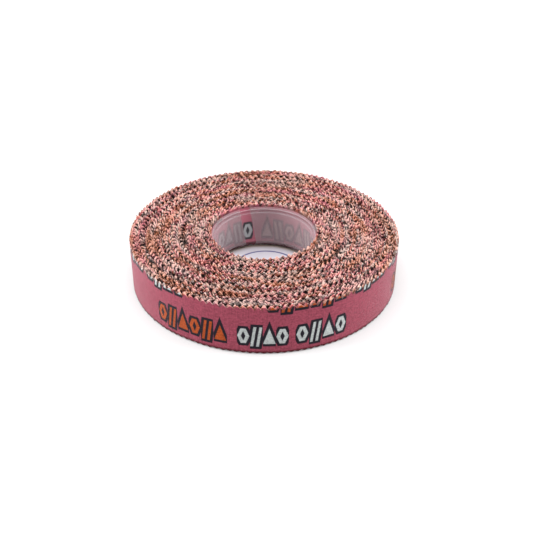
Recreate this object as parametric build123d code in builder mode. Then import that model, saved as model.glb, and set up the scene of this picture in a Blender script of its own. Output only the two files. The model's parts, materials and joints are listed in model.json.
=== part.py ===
"""Roll of narrow cloth sports tape on a clear plastic core, in millimetres, +Z up.

The tape is one strip, 13 mm wide and 15 yards long, wound adhesive side in, and it lies on its cut edges.
Turns that stay glued to one another are one solid, wound_tape. The last turn is a strip of its own,
outer_turn, and it goes on in the free end: short strips hinged end to end, which peel off in a curve.
Inside the tape are the liner, a film bent into a split ring, and the core, a clear ring with chamfered
mouths. A thin paper label closes the bore underneath, and the roll stands on it.

The origin is on the core's axis, at the underside of the label.
"""

import os
from math import ceil, cos, degrees, pi, radians, sin, sqrt

from build123d import *

# Tape
TAPE_WIDTH = 13.0
TAPE_LENGTH = 13716.0  # 15 yards
TAPE_THICKNESS = 0.225  # one turn, cloth and adhesive
TAPE_INNER_RADIUS = 13.4  # inner face of the first turn
TURN_CLEARANCE = 0.02  # between the last turn and the turn under it
START_ANGLE = 172.0  # where the strip begins at the core, and where every turn is counted from

# Free end of the tape
END_STRIPS = 5
END_STRIP_LENGTH = 9.0
END_LIFT = 0.06  # between the free end and the turn under it
END_SLIT = 0.05  # between two neighbouring strips
TIP_SETBACK = 4.0  # degrees that the tape's tip stops short of a full last turn

# Core and liner
CORE_BASE = 0.6
CORE_HEIGHT = 11.35
CORE_OUTER_RADIUS = 13.2
CORE_WALL = 0.5
CHAMFER_HEIGHT = 1.0
CHAMFER_WIDTH = 0.35
LINER_BASE = 0.9
LINER_HEIGHT = 11.5
LINER_OUTER_RADIUS = 13.36
LINER_THICKNESS = 0.12
GAP_ANGLE = 109.0  # where the liner's two ends face each other
GAP_WIDTH = 2.9
GAP_LEAN = 9.0  # degrees that the liner's ends lean, with their tops counter-clockwise of their feet

# Label
LABEL_RADIUS = 19.0
LABEL_THICKNESS = 0.1
LABEL_CENTRE = (0.5, 1.7)  # stuck on by hand, a little off the axis

# Worked out from the dimensions above
OUTER_RADIUS = sqrt(TAPE_INNER_RADIUS**2 + TAPE_LENGTH * TAPE_THICKNESS / pi)
LAST_TURN = ceil((OUTER_RADIUS - TAPE_INNER_RADIUS) / TAPE_THICKNESS) - 1
LAST_TURN_RADIUS = TAPE_INNER_RADIUS + LAST_TURN * TAPE_THICKNESS
STRIP_ANGLE = degrees(END_STRIP_LENGTH / LAST_TURN_RADIUS)
SLIT_ANGLE = degrees(END_SLIT / LAST_TURN_RADIUS)
END_ROOT_ANGLE = 360 - TIP_SETBACK - END_STRIPS * STRIP_ANGLE


def half_turn_centre(half_turn):
    """Centre of half turn 0 or 1. The spiral has two centres, each a quarter of its pitch off the axis."""
    offset = TAPE_THICKNESS / 4 * (-1, 1)[half_turn]
    return offset * cos(radians(START_ANGLE)), offset * sin(radians(START_ANGLE))


def spiral_arcs(turn, start, end, lift=0.0):
    """One turn's inner face, lifted, from start to end in degrees past START_ANGLE, as CenterArc arguments."""
    arcs = []
    for half_turn in range(2):
        low = max(start, 180 * half_turn)
        high = min(end, 180 * (half_turn + 1))
        if high > low:
            radius = TAPE_INNER_RADIUS + (turn + 0.25 + half_turn / 2) * TAPE_THICKNESS + lift
            arcs.append((half_turn_centre(half_turn), radius, START_ANGLE + low, high - low))
    return arcs


def wound_turns(first, last):
    """Plan of all turns from first to last, without last itself. Each rim has a step one thickness high."""
    with BuildSketch(Plane.XY.offset(LABEL_THICKNESS)) as plan:
        for turn, mode in ((last, Mode.ADD), (first, Mode.SUBTRACT)):
            with BuildLine():
                rim = [CenterArc(*arc) for arc in spiral_arcs(turn, 0, 360)]
                Line(rim[-1] @ 1, rim[0] @ 0)
            make_face(mode=mode)
    return plan.sketch


def single_turn(turn, start, end, lift):
    """Plan of a strip on one turn, from start to end in degrees. Only its inner face is lifted."""
    with BuildSketch(Plane.XY.offset(LABEL_THICKNESS)) as plan:
        with BuildLine():
            inner = [CenterArc(*arc) for arc in spiral_arcs(turn, start, end, lift)]
            outer = [CenterArc(*arc) for arc in spiral_arcs(turn, start, end, TAPE_THICKNESS)]
            Line(inner[0] @ 0, outer[0] @ 0)
            Line(inner[-1] @ 1, outer[-1] @ 1)
        make_face()
    return plan.sketch


def strip_start(strip):
    """Angle past START_ANGLE where a free-end strip begins, at the middle of the slit before it."""
    return END_ROOT_ANGLE + strip * STRIP_ANGLE


def hinge_line(strip):
    """X and Y of the upright line that a free-end strip turns about: on the tape's outer face, in the slit."""
    centre, radius, angle, _ = spiral_arcs(LAST_TURN, strip_start(strip), 360, TAPE_THICKNESS)[0]
    return centre[0] + radius * cos(radians(angle)), centre[1] + radius * sin(radians(angle))


# Wound tape: every turn but the last
with BuildPart() as wound_tape:
    add(wound_turns(0, LAST_TURN))
    extrude(amount=TAPE_WIDTH)
wound_tape.part.label = "wound_tape"

# Outer turn: the last turn, as far as the root of the free end
with BuildPart() as outer_turn:
    add(single_turn(LAST_TURN, 0, END_ROOT_ANGLE - SLIT_ANGLE / 2, TURN_CLEARANCE))
    extrude(amount=TAPE_WIDTH)
outer_turn.part.label = "outer_turn"

# Free end: equal strips in a chain, each hinged to the one before it
free_end = []
for strip in range(END_STRIPS):
    begins = strip_start(strip) + SLIT_ANGLE / 2
    ends = strip_start(strip + 1) - SLIT_ANGLE / 2
    with BuildPart() as end_strip:
        add(single_turn(LAST_TURN, begins, ends, END_LIFT))
        extrude(amount=TAPE_WIDTH)
    end_strip.part.label = f"free_end_{strip + 1}"
    free_end.append(end_strip.part)

# Core: a ring lower than the tape is wide, with a chamfer at each mouth of its bore
core_bore_radius = CORE_OUTER_RADIUS - CORE_WALL
core_mouth_radius = core_bore_radius + CHAMFER_WIDTH
core_top = CORE_BASE + CORE_HEIGHT
with BuildPart() as core_ring:
    with BuildSketch(Plane.XZ):
        with BuildLine():
            Polyline(
                (CORE_OUTER_RADIUS, CORE_BASE),
                (CORE_OUTER_RADIUS, core_top),
                (core_mouth_radius, core_top),
                (core_bore_radius, core_top - CHAMFER_HEIGHT),
                (core_bore_radius, CORE_BASE + CHAMFER_HEIGHT),
                (core_mouth_radius, CORE_BASE),
                close=True,
            )
        make_face()
    revolve(axis=Axis.Z)
core_ring.part.label = "core_ring"

# Liner: a film between the core and the tape, whose leaning ends stop short of each other
outward = Vector(1, 0, 0).rotate(Axis.Z, GAP_ANGLE)
sideways = Vector(0, 1, 0).rotate(Axis.Z, GAP_ANGLE)
with BuildPart() as core_liner:
    with BuildSketch(Plane.XY.offset(LINER_BASE)):
        Circle(LINER_OUTER_RADIUS)
        Circle(LINER_OUTER_RADIUS - LINER_THICKNESS, mode=Mode.SUBTRACT)
    extrude(amount=LINER_HEIGHT)
    with BuildSketch(Plane((0, 0, LINER_BASE + LINER_HEIGHT / 2), x_dir=sideways, z_dir=outward)):
        Rectangle(GAP_WIDTH, 2 * LINER_HEIGHT, rotation=-GAP_LEAN)
    extrude(amount=2 * LINER_OUTER_RADIUS, mode=Mode.SUBTRACT)
core_liner.part.label = "core_liner"

# Label: a paper disc over the bore
with BuildPart() as base_label:
    with BuildSketch(Plane.XY):
        with Locations(LABEL_CENTRE):
            Circle(LABEL_RADIUS)
    extrude(amount=LABEL_THICKNESS)
base_label.part.label = "base_label"

os.makedirs("parts", exist_ok=True)
for piece in (wound_tape.part, outer_turn.part, *free_end, core_ring.part, core_liner.part, base_label.part):
    export_step(piece, f"parts/{piece.label}.step")

print("turns", LAST_TURN + 1, "outer radius", round(OUTER_RADIUS, 3))
print("core bore radius", core_bore_radius, "straight wall", CORE_HEIGHT - 2 * CHAMFER_HEIGHT)
for strip in range(END_STRIPS):
    print("hinge of", free_end[strip].label, [round(place, 6) for place in hinge_line(strip)])
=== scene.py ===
"""Looks of a roll of narrow printed cloth tape, in metres, +Z up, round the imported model's frame.

The tape is modelled as what it is: one strip with pinked edges, wound into a spiral. Each stretch of it is a
closed mesh whose UV map holds its own place on the flat tape, in millimetres along and across it, so print,
weave and adhesive follow the tape wherever it goes.
"""

import json
from math import atan2, cos, radians, sin, tan, tau

import bpy
import numpy as np
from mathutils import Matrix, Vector


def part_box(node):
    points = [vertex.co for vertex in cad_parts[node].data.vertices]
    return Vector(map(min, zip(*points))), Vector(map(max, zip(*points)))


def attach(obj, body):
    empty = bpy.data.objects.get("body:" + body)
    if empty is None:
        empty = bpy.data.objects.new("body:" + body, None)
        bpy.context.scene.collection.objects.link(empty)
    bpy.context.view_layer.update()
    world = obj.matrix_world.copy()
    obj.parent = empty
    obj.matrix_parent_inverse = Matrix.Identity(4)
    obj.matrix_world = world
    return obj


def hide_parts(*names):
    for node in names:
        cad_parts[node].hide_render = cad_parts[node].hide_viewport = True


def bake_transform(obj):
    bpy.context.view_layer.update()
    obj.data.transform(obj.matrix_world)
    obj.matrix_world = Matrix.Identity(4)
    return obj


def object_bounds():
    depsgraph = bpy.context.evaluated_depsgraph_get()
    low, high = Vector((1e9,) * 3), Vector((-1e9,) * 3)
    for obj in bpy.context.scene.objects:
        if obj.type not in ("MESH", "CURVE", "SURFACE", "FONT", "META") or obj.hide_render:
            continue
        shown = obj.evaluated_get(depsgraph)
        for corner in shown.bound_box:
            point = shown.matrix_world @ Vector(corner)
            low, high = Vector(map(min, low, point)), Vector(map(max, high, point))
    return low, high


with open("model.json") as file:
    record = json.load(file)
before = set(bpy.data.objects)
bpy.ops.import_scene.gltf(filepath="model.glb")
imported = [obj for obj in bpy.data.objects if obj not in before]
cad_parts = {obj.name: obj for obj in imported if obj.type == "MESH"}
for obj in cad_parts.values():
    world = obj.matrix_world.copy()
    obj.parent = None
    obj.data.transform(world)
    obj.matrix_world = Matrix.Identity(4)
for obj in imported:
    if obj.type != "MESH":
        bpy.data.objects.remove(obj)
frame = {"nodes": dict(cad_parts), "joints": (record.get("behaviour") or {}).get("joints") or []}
cad_low, cad_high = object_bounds()
random = np.random.default_rng(7)

MM = 0.001

# Tape
TURN_PITCH = 0.225 * MM  # one turn's thickness, cloth and adhesive
HALF_THICKNESS = 0.102 * MM
START_ANGLE = radians(172)  # where the strip begins at the core, and where every turn is counted from
TIP_SETBACK = radians(4)  # how far the tip lies before START_ANGLE
TOOTH_PITCH = 1.5937 * MM  # a whole number of teeth round the last turns, so that theirs stand in line
TOOTH_DEPTH = 0.95 * MM
TOOTH_PROFILE = np.array((0.0, 0.55, 1.0, 0.55))  # height of the cut edge at the columns of one tooth
COLUMNS = len(TOOTH_PROFILE)
COLUMN_STEP = TOOTH_PITCH / COLUMNS
SIDE_ROWS = np.array((0.0, 0.09, 0.91, 1.0))  # rows of vertices up the tape, as shares of its width
CLOTH_SHARP_ANGLE = radians(60)
TURNS_PER_PIECE = 13
BEND_SHARE = 0.8  # share of each strip of the free end, either side of its hinge

# Teeth, one by one: spreads are standard deviations
UPPER_DEPTH_SPREAD = 0.12
SHORTER_TEETH = 0.05 * MM
LOWER_DEPTH = 0.3 * TOOTH_DEPTH
LOWER_DEPTH_SPREAD = 0.08
FIRST_LOWER_DEPTH = 0.8 * TOOTH_DEPTH  # the first turn stands on the label on its lower teeth
INNER_TURNS = 12  # the rest of these turns clear the label
INNER_CLEARANCE = 0.6 * TOOTH_DEPTH
LOWER_LEAN = 0.03 * MM
UPPER_LEAN = 0.04 * MM
THICKNESS_CHANGE, THICKNESS_COLUMNS = 0.08, 3  # how much, and in how many columns

# How unevenly the turns lie
DRIFTS = ((0.06 * MM, 170), (0.08 * MM, 900))  # up and down along the tape: how far, in how many columns
DRIFT_LIFT = 0.06 * MM
HUMP, HUMP_SIZE = 0.08 * MM, 5 * MM  # patches of the roll's top where all turns stand higher
CLUMPS = ((0.16 * MM, 1.0 * MM), (0.1 * MM, 0.6 * MM))  # patches of lower teeth: their depth and size
GROOVES = (  # radius, depth and half-width of low rings in the roll's top, where it was wound unevenly
    (17.3 * MM, 0.25 * MM, 0.3 * MM),
    (20.6 * MM, 0.35 * MM, 0.45 * MM),
    (26.0 * MM, 0.25 * MM, 0.35 * MM),
    (30.6 * MM, 0.4 * MM, 0.35 * MM),
)
GROOVE_WOBBLE, GROOVE_WOBBLE_COLUMNS = 0.4 * MM, 300
GROOVE_SHARE, GROOVE_PATCH = 0.45, 11 * MM  # a groove comes and goes as it runs round

# Print, in millimetres on the flat tape: each group's start, the width of one shape's cell, and its shapes
ORANGE_START, ORANGE_CELL, ORANGE_COUNT = -27.95, 3.24, 6
WHITE_START, WHITE_CELL, WHITE_COUNT = -6.2, 2.98, 4
LAST_START, LAST_CELL, LAST_COUNT = 7.2, 3.27, 4
PRINT_REPEATS = 200  # repeats of the print between the core and the front of the last turn
ROW_CENTRE = 4.85
ROW_SPACING = 9.5
ROW_SHIFT = 28.4
OUTLINE = 0.72
SHAPE_HALF_HEIGHT = 2.05
HEXAGON_SIDE = (0.93, 0.36, 1.30)  # a slanting side's direction, and its distance from the middle
HEXAGON_STROKE = 0.80
BAR_LEAN = (0.99, 0.14)
BAR_PLACE, BAR_HALF_WIDTH = 0.66, 0.32
BAR_DROP, BAR_HALF_HEIGHT = 0.1, 2.75
TRIANGLE_SIDE = (4.25, 1.42, 4.48)  # a slanting side's direction, and that direction's length
TRIANGLE_TOP = 2.2
FAR_AWAY = 50  # added to the distance of shapes that don't count
INK_WAVER, INK_WAVER_SCALE = 0.16, 2.2  # how far the print strays from its outline

# Core, liner and label
CHAMFER_HEIGHT = 1.0 * MM
CHAMFER_WIDTH = 0.35 * MM
CORNER = 0.06 * MM
GAP_ANGLE = radians(109)
GAP_WIDTH = 2.9 * MM
GAP_LEAN = radians(9)
FILM_ROWS = 6
FILM_SHADE_HEIGHT = 1.3 * MM
FILM_SHADE_EDGE = 0.15 * MM
INK_RING_RADIUS = 8.85 * MM
INK_RING_WIDTH = 0.5 * MM
INK_RING_BLUR = 0.05 * MM
LABEL_EDGE = 0.02 * MM
LABEL_CENTRE_HOLE = 0.001 * MM  # too small to see, so that the disc is a ring of quads
LABEL_SHADOW_START, LABEL_SHADOW_END = 11.2 * MM, 13.4 * MM  # distances from the roll's axis
ROUND_STEPS = 256
PIECE_SHARP_ANGLE = radians(30)


# ---------------------------------------------------------------- the frame


def radii(node):
    """Least and greatest distance of a CAD node's vertices from the axis."""
    found = [v.co.xy.length for v in frame["nodes"][node].data.vertices]
    return min(found), max(found)


tape_low, tape_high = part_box("wound_tape")
tape_width = tape_high.z - tape_low.z
inner_radius, pack_radius = radii("wound_tape")
last_turn = round((pack_radius - inner_radius) / TURN_PITCH) - 1  # counted from 0
tip_angle = (last_turn + 1) * tau - TIP_SETBACK
hinges = [Vector(joint["pos_m"]) for joint in frame["joints"]]


# ---------------------------------------------------------------- the winding


def arc_length(angle):
    """Length of tape from the core to an angle past START_ANGLE, along the middle of its thickness."""
    return (inner_radius + TURN_PITCH / 2) * angle + TURN_PITCH * angle**2 / (2 * tau)


def angle_at(length):
    """The angle past START_ANGLE that a length of tape reaches."""
    start = inner_radius + TURN_PITCH / 2
    return (np.sqrt(start**2 + 2 * TURN_PITCH * length / tau) - start) * tau / TURN_PITCH


def smooth_noise(count, spacing):
    """Random values between -1 and 1, one for each of count steps, that change over about spacing steps."""
    knots = random.uniform(-1, 1, int(count / spacing) + 4)
    place = np.arange(count) / spacing
    low = place.astype(int)
    share = place - low
    share = share * share * (3 - 2 * share)
    return knots[low] * (1 - share) + knots[low + 1] * share


def patch_noise(x, y, size):
    """Random values between -1 and 1 that change over about size across the roll's top, on all turns."""
    reach = 2 * pack_radius + 4 * size
    knots = random.uniform(-1, 1, (int(reach / size) + 2,) * 2)
    column, across = np.divmod((x + reach / 2) / size, 1)
    row, up = np.divmod((y + reach / 2) / size, 1)
    column = column.astype(int)
    row = row.astype(int)
    across = across * across * (3 - 2 * across)
    up = up * up * (3 - 2 * up)
    low = knots[column, row] * (1 - across) + knots[column + 1, row] * across
    high = knots[column, row + 1] * (1 - across) + knots[column + 1, row + 1] * across
    return low * (1 - up) + high * up


class Winding:
    """Every column of vertices along the tape, from the core to the tip."""

    def __init__(self):
        count = int(arc_length(tip_angle) / COLUMN_STEP) + 1
        self.length = np.arange(count) * COLUMN_STEP
        self.angle = angle_at(self.length)
        self.turn = self.angle / tau
        tooth = np.arange(count) // COLUMNS
        phase = np.arange(count) % COLUMNS
        teeth = tooth[-1] + 1

        def per_tooth(spread):
            return random.normal(0, spread, teeth)[tooth]

        profile = TOOTH_PROFILE[phase]
        middle = inner_radius + TURN_PITCH * (0.5 + self.turn)
        x = middle * np.cos(self.angle + START_ANGLE)
        y = middle * np.sin(self.angle + START_ANGLE)
        wander = sum(far * smooth_noise(count, columns) for far, columns in DRIFTS) + DRIFT_LIFT
        wander += HUMP * (patch_noise(x, y, HUMP_SIZE) + 1)
        clump = sum(depth * patch_noise(x, y, size) for depth, size in CLUMPS)
        for groove_radius, groove_depth, groove_width in GROOVES:
            wobble = GROOVE_WOBBLE * smooth_noise(count, GROOVE_WOBBLE_COLUMNS)
            off_centre = middle + wobble - groove_radius
            around = np.clip(GROOVE_SHARE + patch_noise(x, y, GROOVE_PATCH), 0, 1)
            clump += groove_depth * around * np.exp(-((off_centre / groove_width) ** 2))
        top_cut = TOOTH_DEPTH * (1 - profile) * (1 + per_tooth(UPPER_DEPTH_SPREAD)) + clump
        top_cut = top_cut + np.abs(per_tooth(SHORTER_TEETH))
        other_profile = TOOTH_PROFILE[(phase + 1) % COLUMNS]
        bottom_cut = LOWER_DEPTH * (1 - other_profile) * (1 + per_tooth(LOWER_DEPTH_SPREAD))
        bottom_cut = np.where(self.turn < INNER_TURNS, INNER_CLEARANCE, bottom_cut)
        bottom_cut = np.where(self.turn < 1, FIRST_LOWER_DEPTH * (1 - other_profile), bottom_cut)
        self.low = tape_low.z + wander + bottom_cut
        self.high = tape_high.z + wander - top_cut
        self.base = tape_low.z + wander
        lean = np.zeros((count, len(SIDE_ROWS)))
        lean[:, 0] = per_tooth(LOWER_LEAN) * other_profile
        lean[:, -1] = per_tooth(UPPER_LEAN) * profile
        self.radius = middle[:, None] + lean
        self.half = HALF_THICKNESS * (1 + THICKNESS_CHANGE * smooth_noise(count, THICKNESS_COLUMNS))

    def column(self, angle):
        """Index of the column nearest to an angle past START_ANGLE."""
        return int(round(arc_length(angle) / COLUMN_STEP))


winding = Winding()
front_angle = last_turn * tau + (radians(270) - START_ANGLE)
front_length = arc_length(front_angle)
gap_length = arc_length((GAP_ANGLE - START_ANGLE) % tau)
# So many repeats before the white shape at the front of the last turn, another stands in the film's gap
print_period = (front_length / MM - gap_length / MM + WHITE_START + WHITE_CELL / 2) / PRINT_REPEATS


def tape_piece(name, first, last, materials):
    """One stretch of the tape as a closed mesh, from column first to column last of the winding."""
    part = slice(first, last + 1)
    rows = len(SIDE_ROWS)
    angle = START_ANGLE + winding.angle[part]
    height = winding.low[part, None] + (winding.high - winding.low)[part, None] * SIDE_ROWS
    inner = winding.radius[part] - winding.half[part, None]
    outer = winding.radius[part] + winding.half[part, None]
    radius = np.concatenate((inner, outer[:, ::-1]), axis=1)
    height = np.concatenate((height, height[:, ::-1]), axis=1)
    x = radius * np.cos(angle)[:, None]
    y = radius * np.sin(angle)[:, None]
    place = np.stack((x, y, height), axis=2)
    columns, ring = radius.shape
    index = np.arange(columns * ring).reshape(columns, ring)
    following = np.roll(index, -1, axis=1)
    quads = np.stack((index[:-1], following[:-1], following[1:], index[1:]), axis=2).reshape(-1, 4)
    side = np.tile(np.arange(ring), columns - 1)

    mesh = bpy.data.meshes.new(name)
    mesh.vertices.add(columns * ring)
    mesh.vertices.foreach_set("co", place.astype(np.float32).ravel())
    corners = np.concatenate((quads.ravel(), index[0, ::-1], index[-1]))
    starts = np.concatenate((np.arange(len(quads)) * 4, len(quads) * 4 + np.arange(2) * ring))
    totals = np.concatenate((np.full(len(quads), 4), np.full(2, ring)))
    mesh.loops.add(len(corners))
    mesh.loops.foreach_set("vertex_index", corners.astype(np.int32))
    mesh.polygons.add(len(starts))
    mesh.polygons.foreach_set("loop_start", starts.astype(np.int32))
    mesh.polygons.foreach_set("loop_total", totals.astype(np.int32))

    # Adhesive on the inner side, print on the outer one, and bare cut cloth on the two edges and the ends
    is_edge = (side == rows - 1) | (side == ring - 1)
    finish = np.where(is_edge, 2, np.where(side < rows, 0, 1))
    finish = np.concatenate((finish, (2, 2)))
    mesh.polygons.foreach_set("material_index", finish.astype(np.int32))
    smooth = np.concatenate((~is_edge, (False, False)))
    mesh.polygons.foreach_set("use_smooth", smooth)

    along = np.repeat((winding.length[part] - front_length) / MM, ring)[corners]
    across = (height - winding.base[part, None]).ravel()[corners] / MM
    uv = mesh.uv_layers.new(name="tape")
    uv.data.foreach_set("uv", np.stack((along, across), axis=1).ravel())
    for material in materials:
        mesh.materials.append(material)
    mesh.update(calc_edges=True)
    mesh.validate()
    mesh.set_sharp_from_angle(angle=CLOTH_SHARP_ANGLE)
    piece = bpy.data.objects.new(name, mesh)
    bpy.context.scene.collection.objects.link(piece)
    return piece


# ---------------------------------------------------------------- material nodes


class Value:
    """A shader socket that takes part in sums, so that a pattern reads as its formula."""

    def __init__(self, nodes, socket):
        self.nodes = nodes
        self.socket = socket

    def __add__(self, other):
        return self.nodes.math("ADD", self, other)

    def __radd__(self, other):
        return self.nodes.math("ADD", other, self)

    def __sub__(self, other):
        return self.nodes.math("SUBTRACT", self, other)

    def __rsub__(self, other):
        return self.nodes.math("SUBTRACT", other, self)

    def __mul__(self, other):
        return self.nodes.math("MULTIPLY", self, other)

    def __rmul__(self, other):
        return self.nodes.math("MULTIPLY", other, self)

    def __truediv__(self, other):
        return self.nodes.math("DIVIDE", self, other)

    def __mod__(self, other):
        return self.nodes.math("FLOORED_MODULO", self, other)

    def __abs__(self):
        return self.nodes.math("ABSOLUTE", self)

    def __gt__(self, other):
        return self.nodes.math("GREATER_THAN", self, other)

    def __lt__(self, other):
        return self.nodes.math("LESS_THAN", self, other)


class Nodes:
    """A node tree being built. An input may be a number, a colour, a Value or a socket."""

    def __init__(self, tree):
        self.tree = tree
        tree.nodes.clear()

    def add(self, kind, settings=None, **inputs):
        node = self.tree.nodes.new(kind)
        for name, value in (settings or {}).items():
            setattr(node, name, value)
        for name, value in inputs.items():
            self.put(node.inputs[name.replace("_", " ")], value)
        return node

    def put(self, socket, value):
        if isinstance(value, Value):
            value = value.socket
        if isinstance(value, bpy.types.NodeSocket):
            self.tree.links.new(value, socket)
        elif isinstance(value, tuple) and socket.type == "RGBA":
            socket.default_value = (*value, 1)
        else:
            socket.default_value = value

    def math(self, operation, *values):
        node = self.tree.nodes.new("ShaderNodeMath")
        node.operation = operation
        for socket, value in zip(node.inputs, values):
            self.put(socket, value)
        return Value(self, node.outputs[0])

    def step(self, distance, softness):
        """1 inside a shape and 0 outside it, from the distance to its edge, softened over that width."""
        node = self.add("ShaderNodeMapRange", Value=distance, From_Min=softness, From_Max=0 - softness)
        return Value(self, node.outputs[0])

    def mix(self, share, first, second, blend="MIX"):
        node = self.tree.nodes.new("ShaderNodeMix")
        node.data_type = "RGBA"
        node.blend_type = blend
        self.put(node.inputs["Factor"], share)
        self.put(node.inputs[6], first)
        self.put(node.inputs[7], second)
        return node.outputs[2]

    def noise(self, vector, scale, detail=2.0, roughness=0.5):
        node = self.add(
            "ShaderNodeTexNoise", Vector=vector, Scale=scale, Detail=detail, Roughness=roughness
        )
        return Value(self, node.outputs["Fac"])

    def place(self, x, y, z=0.0):
        return self.add("ShaderNodeCombineXYZ", X=x, Y=y, Z=z).outputs[0]

    def bump(self, height, distance):
        return self.add("ShaderNodeBump", Height=height, Distance=distance, Strength=1.0).outputs[0]


def new_material(name):
    material = bpy.data.materials.new(name)
    material.use_nodes = True
    nodes = Nodes(material.node_tree)
    return material, nodes


def finish_material(nodes, **inputs):
    """Ends a material in one Principled shader. Numbers and colours are set on its own sockets."""
    shader = nodes.add("ShaderNodeBsdfPrincipled", **inputs)
    output = nodes.add("ShaderNodeOutputMaterial")
    nodes.tree.links.new(shader.outputs[0], output.inputs["Surface"])


# ---------------------------------------------------------------- the print


def smallest(nodes, first, *others):
    for other in others:
        first = nodes.math("MINIMUM", first, other)
    return first


def largest(nodes, first, *others):
    for other in others:
        first = nodes.math("MAXIMUM", first, other)
    return first


def row_of_shapes(nodes, along, up):
    """Distance to one row of printed shapes, and whether the nearest is a white one. All in millimetres."""
    place = (along - ORANGE_START) % print_period
    in_white = place > (ORANGE_CELL * ORANGE_COUNT + WHITE_START - ORANGE_START) / 2
    in_last = place > ((WHITE_START + LAST_START + WHITE_CELL * WHITE_COUNT) / 2 - ORANGE_START)
    start = (WHITE_START - ORANGE_START) * in_white + (LAST_START - WHITE_START) * in_last
    cell = ORANGE_CELL + (WHITE_CELL - ORANGE_CELL) * in_white + (LAST_CELL - WHITE_CELL) * in_last
    count = ORANGE_COUNT + (WHITE_COUNT - ORANGE_COUNT) * in_white + (LAST_COUNT - WHITE_COUNT) * in_last
    number = nodes.math("FLOOR", (place - start) / cell)
    x = place - start - (number + 0.5) * cell
    outside = largest(nodes, number < -0.5, number > count - 0.5)
    kind = number % 3

    over, rise, far = HEXAGON_SIDE
    hexagon = largest(nodes, abs(x) * over + abs(up) * rise - far, abs(up) - SHAPE_HALF_HEIGHT)
    hollow = abs(hexagon + HEXAGON_STROKE / 2) - HEXAGON_STROKE / 2
    from_bar = abs(abs(x * BAR_LEAN[0] - up * BAR_LEAN[1]) - BAR_PLACE) - BAR_HALF_WIDTH
    bars = largest(nodes, from_bar, abs(up + BAR_DROP) - BAR_HALF_HEIGHT)
    over, rise, length = TRIANGLE_SIDE
    from_side = (abs(x) * over + (up - TRIANGLE_TOP) * rise) / length
    triangle = largest(nodes, from_side, -SHAPE_HALF_HEIGHT - up)
    shape = hollow + (bars - hollow) * (kind > 0.5) + (triangle - bars) * (kind > 1.5)
    return shape + outside * FAR_AWAY, in_white


def make_print_group():
    """Node group: from a place on the tape to masks of orange ink, white ink and dark outline."""
    group = bpy.data.node_groups.new("tape_print", "ShaderNodeTree")
    for name in ("Along", "Up", "Softness"):
        group.interface.new_socket(name, in_out="INPUT", socket_type="NodeSocketFloat")
    for name in ("Orange", "White", "Outline"):
        group.interface.new_socket(name, in_out="OUTPUT", socket_type="NodeSocketFloat")
    nodes = Nodes(group)
    given = nodes.add("NodeGroupInput").outputs
    along = Value(nodes, given["Along"])
    up = Value(nodes, given["Up"])
    softness = Value(nodes, given["Softness"])
    place = nodes.place(along, up)
    along = along + (nodes.noise(place, INK_WAVER_SCALE) - 0.5) * INK_WAVER
    up = up + (nodes.noise(nodes.place(up, along), INK_WAVER_SCALE) - 0.5) * INK_WAVER
    lower, lower_white = row_of_shapes(nodes, along, up - ROW_CENTRE)
    upper, upper_white = row_of_shapes(nodes, along - ROW_SHIFT, up - (ROW_CENTRE + ROW_SPACING))
    white = smallest(nodes, lower + (1 - lower_white) * FAR_AWAY, upper + (1 - upper_white) * FAR_AWAY)
    orange = smallest(nodes, lower + lower_white * FAR_AWAY, upper + upper_white * FAR_AWAY)
    both = smallest(nodes, white, orange)
    end = nodes.add("NodeGroupOutput")
    nodes.put(end.inputs["Orange"], nodes.step(orange, softness))
    nodes.put(end.inputs["White"], nodes.step(white, softness))
    nodes.put(end.inputs["Outline"], nodes.step(both - OUTLINE, softness))
    return group


# ---------------------------------------------------------------- materials

# Colours, linear
PINK = (0.268, 0.052, 0.080)
GLUED_PINK = (0.52, 0.120, 0.175)
EDGE_PINK = (0.60, 0.115, 0.10)
EDGE_ROSE = (0.62, 0.15, 0.22)
ORANGE = (0.335, 0.060, 0.013)
GLUED_ORANGE = (0.50, 0.37, 0.34)
WHITE = (0.40, 0.425, 0.42)
GLUED_WHITE = (0.45, 0.46, 0.46)
DARK = (0.012, 0.009, 0.015)
COTTON = (0.88, 0.565, 0.465)
FRAYED_ORANGE = (0.44, 0.110, 0.030)
FRAYED_WHITE = (0.58, 0.475, 0.45)
FRAYED_DARK = (0.070, 0.016, 0.013)
PAINTED_EDGE_SHADOW = (0.05, 0.006, 0.008)
SHADED_RED = (0.085, 0.003, 0.009)
CLEAR_PLASTIC = (0.9, 0.86, 0.88)
CHAMFER_SHADE = (0.25, 0.14, 0.16)
MILKY_FILM = (0.58, 0.44, 0.46)
PAPER = ((0.60, 0.59, 0.655), (0.69, 0.68, 0.74))  # darkest and lightest fibres
LABEL_INK = (0.02, 0.025, 0.20)
LABEL_SHADOW = (0.22, 0.15, 0.10)
FLOOR_WHITE = ((0.54, 0.54, 0.545), (0.56, 0.56, 0.56))

# Cloth, in millimetres on the flat tape. Each pair is where something begins and where it is complete
THREAD_PITCH = 0.3
LINT_AND_SHADE_CLOTH = (11.6, 11.9)  # where the teeth's lint and painted shade begin, up the printed side
LINT_AND_SHADE_ADHESIVE = (11.7, 12.0)  # and up the adhesive side
EDGE_SHADOW_HEIGHTS = (0.85, 0.35)
# painted dark red shade at the foot of the adhesive side and along the lower cut edge
RED_FOOT = (1.25, 1.05)
RED_EDGE = (1.2, 0.7)
OUTER_AIR = (-650.0, -430.0)  # light at the feet of the outermost teeth, from the last turn's front
INNER_AIR = (170, 85)  # light at the feet of the innermost teeth, from the core

# Teeth with lint and painted shade. Heights run from 0 at a tooth's foot to 1 at its tip
CLUMP_WEIGHT = 0.85  # how much a clump counts beside a tooth's own height
LINT_HEIGHTS = (0.6, 1.25)
LIT_HEIGHTS = (0.27, 0.95)
# painted shade at the teeth's feet, painted light added there on the outermost and innermost turns, and
# painted highlight at the tips
DARKEST, AIRY, BRIGHTEST = 0.02, 0.4, 1.03

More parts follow.
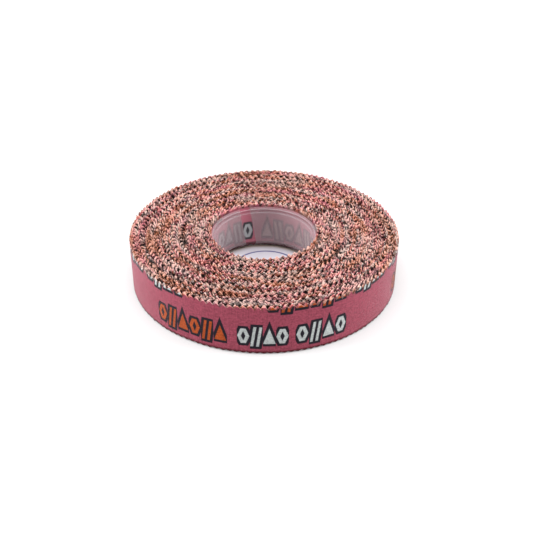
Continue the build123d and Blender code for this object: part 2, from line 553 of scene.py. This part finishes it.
# Arcs of colour on the roll's top
ARCS_AROUND, ARCS_OUTWARD = 2.4, 480  # how fast they change round the roll, and outwards per metre
ROSE_ARCS, ORANGE_ARCS, WHITE_ARCS = 10.0, 20.0, 30.0  # offsets that give each colour its own arcs


def own_place(nodes):
    """Place in a piece's own frame, which is the roll's, in metres."""
    return nodes.add("ShaderNodeTexCoord").outputs["Object"]


def parts_of(nodes, place):
    """A place's x, y and z."""
    apart = nodes.add("ShaderNodeSeparateXYZ", Vector=place).outputs
    return [Value(nodes, part) for part in apart]


def tape_uv(nodes):
    """Place along the tape and up from its lower edge, in millimetres."""
    uv = nodes.add("ShaderNodeUVMap", {"uv_map": "tape"}).outputs[0]
    along, up, _ = parts_of(nodes, uv)
    return along, up


def printed(nodes, group, along, up, softness, ground, orange=ORANGE, white=WHITE, outline=DARK):
    """Ground colour with the print on it."""
    masks = nodes.tree.nodes.new("ShaderNodeGroup")
    masks.node_tree = group
    nodes.put(masks.inputs["Along"], along)
    nodes.put(masks.inputs["Up"], up)
    nodes.put(masks.inputs["Softness"], softness)
    colour = nodes.mix(masks.outputs["Outline"], ground, outline)
    colour = nodes.mix(masks.outputs["Orange"], colour, orange)
    return nodes.mix(masks.outputs["White"], colour, white)


def shaded(nodes, colour, shade):
    """Colour made darker or lighter."""
    return nodes.mix(1.0, colour, nodes.place(shade, shade, shade), "MULTIPLY")


def tint(colour, amount):
    """A constant colour made darker or lighter."""
    return tuple(min(1.0, c * amount) for c in colour)


def range_of(nodes, value, low, high):
    """0 where value is low, 1 where it is high, and between them in between."""
    node = nodes.add("ShaderNodeMapRange", Value=value, From_Min=low, From_Max=high)
    return Value(nodes, node.outputs[0])


def distance_of(nodes, x, y):
    """Distance of a point from the origin of x and y."""
    return nodes.math("SQRT", x * x + y * y)


def up_tooth(nodes, up):
    """0 at the foot of the teeth, and 1 at their tips, at either edge of the tape."""
    depth = TOOTH_DEPTH / MM
    width = tape_width / MM
    return largest(nodes, range_of(nodes, up, width - depth, width), range_of(nodes, up, depth, 0.0))


def weave(nodes, along, up):
    """Heights of a plain weave, and how light each thread is."""
    warp = nodes.math("SINE", along * (tau / THREAD_PITCH))
    weft = nodes.math("SINE", up * (tau / THREAD_PITCH))
    height = warp * weft * 0.5 + 0.5
    warp_shade = nodes.noise(nodes.place(along * 0.5, up * 3.4), 1.0, 3.0, 0.6)
    weft_shade = nodes.noise(nodes.place(along * 3.4, up * 0.35), 1.0, 3.0, 0.6)
    return height, warp_shade, weft_shade


def arcs(nodes, offset):
    """Patches that run round the roll, where turns look alike: a centimetre long and two millimetres wide."""
    x, y, _ = parts_of(nodes, own_place(nodes))
    radius = distance_of(nodes, x, y)
    across = y / radius * ARCS_AROUND
    polar = nodes.place(x / radius * ARCS_AROUND + offset, across, radius * ARCS_OUTWARD)
    return range_of(nodes, nodes.noise(polar, 1.0, 2.0), 0.5, 0.64)


def stained_teeth(nodes, group, along, up):
    """Colour of the teeth: the print gone through the cloth, on dye that differs from place to place."""
    pattern = nodes.noise(own_place(nodes), 220.0, 3.0)
    dye = nodes.mix(range_of(nodes, pattern, 0.4, 0.6), EDGE_PINK, EDGE_ROSE)
    softness = 0.09
    colour = printed(nodes, group, along, up, softness, dye, FRAYED_ORANGE, FRAYED_WHITE, FRAYED_DARK)
    colour = nodes.mix(arcs(nodes, ROSE_ARCS) * 0.7, colour, EDGE_ROSE)
    colour = nodes.mix(arcs(nodes, ORANGE_ARCS) * 0.85, colour, FRAYED_ORANGE)
    return nodes.mix(arcs(nodes, WHITE_ARCS) * 0.6, colour, FRAYED_WHITE)


def clumps(nodes):
    """Where teeth of neighbouring turns have stuck together and gathered lint, about a millimetre across."""
    pattern = nodes.noise(own_place(nodes), 1100.0, 2.0, 0.65)
    return range_of(nodes, pattern, 0.36, 0.64)


def teeth_lint_and_painted_shade(nodes, colour, tooth, clump, along, lint=0.52):
    """Painted shade: dark at the foot of the teeth and between clumps. Pale with lint at the tips, partly a
    painted highlight.

    Painted light at the feet of the teeth of the outermost turns and of the turn at the core.
    """
    core_end = -front_length / MM
    outer_air = range_of(nodes, along, *OUTER_AIR)
    inner_air = range_of(nodes, along, core_end + INNER_AIR[0], core_end + INNER_AIR[1])
    open_air = largest(nodes, outer_air, inner_air)
    # Painted shade by a tooth's height: dark at its foot and between clumps, light at its tip
    height = tooth + (clump - 0.5) * CLUMP_WEIGHT
    bare = lint * (1 - 0.5 * largest(nodes, arcs(nodes, ROSE_ARCS), arcs(nodes, ORANGE_ARCS)))
    colour = nodes.mix(range_of(nodes, height, *LINT_HEIGHTS) * bare, colour, COTTON)
    least = DARKEST + AIRY * open_air
    return shaded(nodes, colour, least + (BRIGHTEST - least) * range_of(nodes, height, *LIT_HEIGHTS))


def print_material(group, wound):
    """The tape's outer side: dyed cloth with a generic print, and a painted contact shadow along its lower
    edge. Wound cloth has teeth with lint and painted shade.
    """
    material, nodes = new_material("wound_printed_cloth" if wound else "printed_cloth")
    along, up = tape_uv(nodes)
    height, warp_shade, weft_shade = weave(nodes, along, up)
    stain = nodes.noise(nodes.place(along * 0.08, up * 0.15), 1.0, 4.0)
    slub = nodes.noise(nodes.place(along * 2.0, up * 2.0), 1.0, 3.0, 0.8)
    ground = nodes.mix(weft_shade, tint(PINK, 0.65), tint(PINK, 1.35))
    colour = printed(nodes, group, along, up, 0.07, ground)
    shade = 0.9 + 0.14 * height + 0.85 * (warp_shade - 0.5) + 0.2 * (stain - 0.5) + 1.7 * (slub - 0.5)
    colour = shaded(nodes, colour, shade)
    if wound:
        stained = stained_teeth(nodes, group, along, up)
        # Teeth: lint at the tips and painted shade at their feet
        teeth = teeth_lint_and_painted_shade(nodes, stained, up_tooth(nodes, up), clumps(nodes), along, lint=0.42)
        colour = nodes.mix(range_of(nodes, up, *LINT_AND_SHADE_CLOTH), colour, teeth)
    # Painted contact shadow along the lower edge of the printed side
    edge_shadow = range_of(nodes, up + (slub - 0.5) * 0.6, *EDGE_SHADOW_HEIGHTS)
    colour = nodes.mix(edge_shadow * 0.9, colour, PAINTED_EDGE_SHADOW)
    fibres = nodes.noise(nodes.place(along, up), 9.0, 3.0)
    normal = nodes.bump(height * 0.6 + fibres * 0.8 + warp_shade, 0.06 * MM)
    finish_material(
        nodes,
        Base_Color=colour,
        Roughness=0.9,
        Normal=normal,
        Sheen_Weight=0.36,
        Sheen_Roughness=0.3,
        Sheen_Tint=(1.0, 0.92, 0.94),
        Specular_IOR_Level=0.1,
    )
    return material


def adhesive_material(group):
    """The tape's inner side: adhesive over the dyed cloth, with the print showing through in reverse.

    The print is blurred where the liner's film lies over it, and sharp in the film's gap.
    """
    material, nodes = new_material("adhesive_side")
    along, up = tape_uv(nodes)
    height, warp_shade, weft_shade = weave(nodes, along, up)
    ground = nodes.mix(weft_shade, tint(GLUED_PINK, 0.9), tint(GLUED_PINK, 1.1))
    gap = (gap_length - front_length) / MM + tan(GAP_LEAN) * (up - tape_width / MM / 2)
    under_film = range_of(nodes, abs(along - gap), GAP_WIDTH / MM / 2 - 0.1, GAP_WIDTH / MM / 2)
    softness = 0.09 + 0.26 * under_film
    print_colour = printed(nodes, group, along, up, softness, ground, GLUED_ORANGE, GLUED_WHITE)
    colour = nodes.mix(under_film * 0.12, print_colour, tint(GLUED_PINK, 1.1))
    colour = shaded(nodes, colour, 0.9 + 0.16 * (warp_shade - 0.5) + 0.1 * height)
    stained = stained_teeth(nodes, group, along, up)
    # Teeth: lint at the tips and painted shade at their feet
    teeth = teeth_lint_and_painted_shade(nodes, stained, up_tooth(nodes, up), clumps(nodes), along)
    colour = nodes.mix(range_of(nodes, up, *LINT_AND_SHADE_ADHESIVE), colour, teeth)
    # Painted dark red shade along the foot of the bore's wall
    colour = nodes.mix(range_of(nodes, up, *RED_FOOT) * 0.97, colour, SHADED_RED)
    normal = nodes.bump(height + 2 * warp_shade, 0.03 * MM)
    finish_material(nodes, Base_Color=colour, Roughness=0.55, Normal=normal, Specular_IOR_Level=0.35)
    return material


def cut_edge_material(group):
    """The cut edges: ends of cotton threads, stained by the print, pale with lint at the tips, with painted
    shade between the teeth and along the lower edge.
    """
    material, nodes = new_material("cut_edge")
    along, up = tape_uv(nodes)
    threads = nodes.noise(nodes.place(along, up), 4.0, 4.0, 0.7)
    colour = stained_teeth(nodes, group, along, up)
    clump = clumps(nodes)
    colour = nodes.mix(range_of(nodes, threads + clump * 0.3, 0.5, 0.85) * 0.5, colour, COTTON)
    # Painted shade at the teeth's feet and between clumps, lint at the tips
    colour = teeth_lint_and_painted_shade(nodes, colour, up_tooth(nodes, up), clump, along)
    # Painted dark red shade along the lower cut edge
    colour = nodes.mix(range_of(nodes, up, *RED_EDGE) * 0.9, colour, SHADED_RED)
    normal = nodes.bump(threads, 0.08 * MM)
    finish_material(nodes, Base_Color=colour, Roughness=0.95, Normal=normal, Specular_IOR_Level=0.15)
    return material


def core_material(top):
    """Clear plastic up to height top: gloss, fine moulding marks, painted highlight lines at its top edges
    and a painted shade on the chamfer.
    """
    material, nodes = new_material("clear_core")
    place = own_place(nodes)
    z = parts_of(nodes, place)[2]
    marks = nodes.noise(place, 900.0, 3.0)
    # Painted highlight lines along the rim and the chamfer's lower corner, and a painted dark band on the
    # chamfer
    rim = nodes.step(abs(z - top) - 0.12 * MM, 0.04 * MM)
    corner = nodes.step(abs(z - (top - CHAMFER_HEIGHT)) - 0.1 * MM, 0.04 * MM)
    edges = largest(nodes, rim, corner)
    chamfer = nodes.step(abs(z - (top - CHAMFER_HEIGHT / 2)) - 0.38 * MM, 0.05 * MM)
    grazing = Value(nodes, nodes.add("ShaderNodeLayerWeight", Blend=0.35).outputs["Facing"])
    alpha = 0.02 + 0.1 * grazing * grazing + 0.22 * edges + 0.1 * chamfer
    normal = nodes.bump(nodes.noise(place, 260.0, 2.0), 0.01 * MM)
    finish_material(
        nodes,
        Base_Color=nodes.mix(chamfer, CLEAR_PLASTIC, CHAMFER_SHADE),
        Roughness=0.08 + 0.08 * marks,
        Normal=normal,
        Alpha=alpha,
        IOR=1.46,
        Specular_IOR_Level=0.9,
    )
    return material


def liner_material():
    """Milky film, with faint streaks, and a painted dark red shade along its foot."""
    material, nodes = new_material("liner_film")
    place = own_place(nodes)
    x, y, z = parts_of(nodes, place)
    streaks = nodes.noise(nodes.place(x * 3000, y * 3000), 1.0, 3.0)
    height = z + 0.5 * MM * (nodes.noise(place, 500.0, 1.0) - 0.5)
    # Painted dark red shade along the film's foot, more opaque there
    foot = range_of(nodes, height, FILM_SHADE_HEIGHT, FILM_SHADE_HEIGHT - FILM_SHADE_EDGE)
    colour = nodes.mix(foot, MILKY_FILM, SHADED_RED)
    alpha = 0.26 + 0.04 * (streaks - 0.5) + 0.45 * foot
    finish_material(nodes, Base_Color=colour, Roughness=0.5, Alpha=alpha, Specular_IOR_Level=0.4)
    return material


def label_material(centre):
    """White paper with a thin printed ring, a little worn, and a painted shadow against the foot of the core.
    """
    material, nodes = new_material("label_paper")
    place = own_place(nodes)
    x, y, _ = parts_of(nodes, place)
    from_centre = distance_of(nodes, x - centre.x, y - centre.y)
    line = nodes.step(abs(from_centre - INK_RING_RADIUS) - INK_RING_WIDTH / 2, INK_RING_BLUR)
    wear = nodes.noise(place, 130.0, 2.0)
    fibre = nodes.noise(place, 3500.0, 4.0, 0.6)
    paper = nodes.mix(fibre, *PAPER)
    # Painted shadow on the paper next to the foot of the core
    from_axis = distance_of(nodes, x, y) + (wear - 0.5) * 1.5 * MM
    shadow_share = range_of(nodes, from_axis, LABEL_SHADOW_START, LABEL_SHADOW_END)
    paper = nodes.mix(shadow_share * shadow_share * 0.9, paper, LABEL_SHADOW)
    colour = nodes.mix(line * (0.5 + 0.7 * wear), paper, LABEL_INK)
    normal = nodes.bump(fibre, 0.02 * MM)
    finish_material(nodes, Base_Color=colour, Roughness=0.6, Normal=normal)
    return material


# ---------------------------------------------------------------- other pieces


def grid_mesh(name, rings, close_around=True):
    """A closed mesh from outlines at places round the axis, joined one to the next.

    An outline runs anticlockwise, with the axis on its left and up at its top, so that faces look outward.
    """
    points = np.array(rings, float)
    around, ring = points.shape[:2]
    index = np.arange(around * ring).reshape(around, ring)
    faces = []
    last_around = around if close_around else around - 1
    for i in range(last_around):
        for j in range(ring):
            next_i = (i + 1) % around
            next_j = (j + 1) % ring
            faces.append((index[i, j], index[next_i, j], index[next_i, next_j], index[i, next_j]))
    if not close_around:
        faces.append(tuple(index[0]))
        faces.append(tuple(index[-1, ::-1]))
    mesh = bpy.data.meshes.new(name)
    vertices = [tuple(p) for p in points.reshape(-1, 3)]
    mesh.from_pydata(vertices, [], [tuple(map(int, face)) for face in faces])
    mesh.validate()
    return mesh


def new_piece(name, mesh, material):
    """A smooth piece with sharp corners, of one material."""
    mesh.materials.append(material)
    for polygon in mesh.polygons:
        polygon.use_smooth = True
    mesh.set_sharp_from_angle(angle=PIECE_SHARP_ANGLE)
    piece = bpy.data.objects.new(name, mesh)
    bpy.context.scene.collection.objects.link(piece)
    return piece


def softened(profile, size):
    """A closed outline with each corner cut back by size, so that edges catch the light."""
    profile = [Vector(p) for p in profile]
    out = []
    for before, corner, after in zip(profile[-1:] + profile[:-1], profile, profile[1:] + profile[:1]):
        out.append(corner + (before - corner).normalized() * size)
        out.append(corner + (after - corner).normalized() * size)
    return out


def core_ring():
    """A clear ring with a chamfer at each mouth."""
    low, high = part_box("core_ring")
    bore, outer = radii("core_ring")
    mouth = bore + CHAMFER_WIDTH
    profile = softened(
        [
            (outer, low.z),
            (outer, high.z),
            (mouth, high.z),
            (bore, high.z - CHAMFER_HEIGHT),
            (bore, low.z + CHAMFER_HEIGHT),
            (mouth, low.z),
        ],
        CORNER,
    )
    rings = []
    for i in range(ROUND_STEPS):
        angle = tau * i / ROUND_STEPS
        rings.append([(p.x * cos(angle), p.x * sin(angle), p.y) for p in profile])
    piece = new_piece("clear_core", grid_mesh("clear_core", rings), core_material(high.z))
    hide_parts("core_ring")
    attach(piece, "roll")


def core_liner():
    """A film bent into a split ring, whose ends lean."""
    low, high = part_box("core_liner")
    inner, outer = radii("core_liner")
    heights = [low.z + (high.z - low.z) * row / (FILM_ROWS - 1) for row in range(FILM_ROWS)]
    section = [(outer, z) for z in heights] + [(inner, z) for z in reversed(heights)]
    middle = (low.z + high.z) / 2
    half_gap = GAP_WIDTH / 2 / outer
    rings = []
    for i in range(ROUND_STEPS + 1):
        ring = []
        for radius, z in section:
            shift = tan(GAP_LEAN) * (z - middle) / outer
            angle = GAP_ANGLE + shift + half_gap + (tau - 2 * half_gap) * i / ROUND_STEPS
            ring.append((radius * cos(angle), radius * sin(angle), z))
        rings.append(ring)
    mesh = grid_mesh("core_film", rings, close_around=False)
    piece = new_piece("core_film", mesh, liner_material())
    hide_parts("core_liner")
    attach(piece, "roll")


def base_label():
    """A paper disc with softened edges."""
    low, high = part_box("base_label")
    centre = (low + high) / 2
    radius = (high.x - low.x) / 2
    section = [
        (LABEL_CENTRE_HOLE, low.z),
        (radius - LABEL_EDGE, low.z),
        (radius, low.z + LABEL_EDGE),
        (radius, high.z - LABEL_EDGE),
        (radius - LABEL_EDGE, high.z),
        (LABEL_CENTRE_HOLE, high.z),
    ]
    rings = []
    for i in range(ROUND_STEPS):
        angle = tau * i / ROUND_STEPS
        rings.append([(centre.x + r * cos(angle), centre.y + r * sin(angle), z) for r, z in section])
    mesh = grid_mesh("paper_label", rings)
    piece = new_piece("paper_label", mesh, label_material(centre))
    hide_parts("base_label")
    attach(piece, "roll")


def hinge_angle(number):
    """Angle past START_ANGLE of a free-end hinge on the last turn."""
    return last_turn * tau + (atan2(hinges[number].y, hinges[number].x) - START_ANGLE) % tau


def wound_tape(materials):
    """All turns under the last one, a few turns to a piece."""
    first = 0
    while first < last_turn:
        after = min(first + TURNS_PER_PIECE, last_turn)
        name = f"turns_{first + 1}_to_{after}"
        piece = tape_piece(name, winding.column(first * tau), winding.column(after * tau), materials)
        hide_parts("wound_tape")
        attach(piece, "roll")
        length = arc_length(after * tau) - arc_length(first * tau)
        first = after


def last_turn_and_free_end(materials):
    """The last turn, and the free end as pieces that each lie over one hinge and meet between hinges."""
    angles = [hinge_angle(number) for number in range(len(hinges))]
    half_strip = (angles[1] - angles[0]) / 2
    first = winding.column(last_turn * tau)
    end = winding.column(angles[0] - half_strip)
    turn = tape_piece("last_turn", first, end, materials)
    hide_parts("outer_turn")
    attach(turn, "roll")
    for number, angle in enumerate(angles):
        first = end
        is_tip = number == len(angles) - 1
        end = len(winding.length) - 1 if is_tip else winding.column(angle + half_strip)
        piece = tape_piece(f"free_end_cloth_{number + 1}", first, end, materials)
        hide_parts(f"free_end_{number + 1}")
        along = Vector((-sin(START_ANGLE + angle), cos(START_ANGLE + angle), 0))
        reach = along * (BEND_SHARE * half_strip * hinges[number].xy.length)
        hinges[number] - reach
        hinges[number] + reach
        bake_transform(piece)


# ---------------------------------------------------------------- the studio

CAMERA_DISTANCE = 221.08 * MM
CAMERA_ELEVATION = radians(33.387)
CAMERA_SENSOR = 36
CAMERA_LENS = 54.8
CAMERA_SHIFT = (0.0202, -0.0045)
CAMERA_CLIP = 0.005
FLOOR_SIZE = 30.0
FLOOR_GLOW = 0.14
SKY_STRENGTH = 0.5
SUN_STRENGTH = 2.2
SUN_ANGLE = radians(70)
SOFT_LIGHTS = (  # name, place, size and power
    ("left_light", (-0.45, 0.02, 0.22), 0.35, 3.1),
    ("right_light", (0.48, 0.02, 0.24), 0.35, 3.0),
    ("front_light", (0.0, -0.42, 0.55), 0.4, 0.8),
)


def camera():
    """The camera, which looks at the middle of the roll's foot."""
    data = bpy.data.cameras.new("camera")
    data.sensor_width = CAMERA_SENSOR
    data.lens = CAMERA_LENS
    data.shift_x, data.shift_y = CAMERA_SHIFT
    data.clip_start = CAMERA_CLIP
    eye = Vector((0, -cos(CAMERA_ELEVATION), sin(CAMERA_ELEVATION))) * CAMERA_DISTANCE
    obj = bpy.data.objects.new("camera", data)
    obj.location = eye
    obj.rotation_euler = (-eye).to_track_quat("-Z", "Y").to_euler()
    bpy.context.scene.collection.objects.link(obj)
    bpy.context.scene.camera = obj


def soft_light(name, place, size, power):
    """A square light that faces the roll."""
    data = bpy.data.lights.new(name, "AREA")
    data.shape = "SQUARE"
    data.size = size
    data.energy = power
    obj = bpy.data.objects.new(name, data)
    obj.location = place
    obj.rotation_euler = (-Vector(place)).to_track_quat("-Z", "Y").to_euler()
    bpy.context.scene.collection.objects.link(obj)


def white_floor():
    """A floor that reaches past every view, and glows a little so that it stays white."""
    size = FLOOR_SIZE
    corners = [(-size, -size, 0), (size, -size, 0), (size, size, 0), (-size, size, 0)]
    mesh = bpy.data.meshes.new("floor")
    mesh.from_pydata(corners, [], [(0, 1, 2, 3)])
    material, nodes = new_material("floor_white")
    finish_material(
        nodes,
        Base_Color=nodes.mix(nodes.noise(own_place(nodes), 3.0), *FLOOR_WHITE),
        Roughness=0.9,
        Specular_IOR_Level=0.1,
        Emission_Color=(1.0, 1.0, 1.0),
        Emission_Strength=FLOOR_GLOW,
    )
    mesh.materials.append(material)
    floor = bpy.data.objects.new("floor", mesh)
    floor.location.z = cad_low.z
    bpy.context.scene.collection.objects.link(floor)


def sky_light():
    """A broad light from straight above, and an even white world."""
    overhead = bpy.data.lights.new("overhead", "SUN")
    overhead.energy = SUN_STRENGTH
    overhead.angle = SUN_ANGLE
    sky = bpy.data.objects.new("overhead", overhead)
    bpy.context.scene.collection.objects.link(sky)
    world = bpy.data.worlds.new("world")
    world.use_nodes = True
    background = world.node_tree.nodes["Background"]
    background.inputs["Color"].default_value = (1, 1, 1, 1)
    background.inputs["Strength"].default_value = SKY_STRENGTH
    bpy.context.scene.world = world
    bpy.context.scene.view_settings.view_transform = "Standard"


camera()
print_group = make_print_group()
adhesive = adhesive_material(print_group)
cut_edge = cut_edge_material(print_group)
wound_tape((adhesive, print_material(print_group, wound=True), cut_edge))
last_turn_and_free_end((adhesive, print_material(print_group, wound=False), cut_edge))
core_ring()
core_liner()
base_label()
white_floor()
for light in SOFT_LIGHTS:
    soft_light(*light)
sky_light()
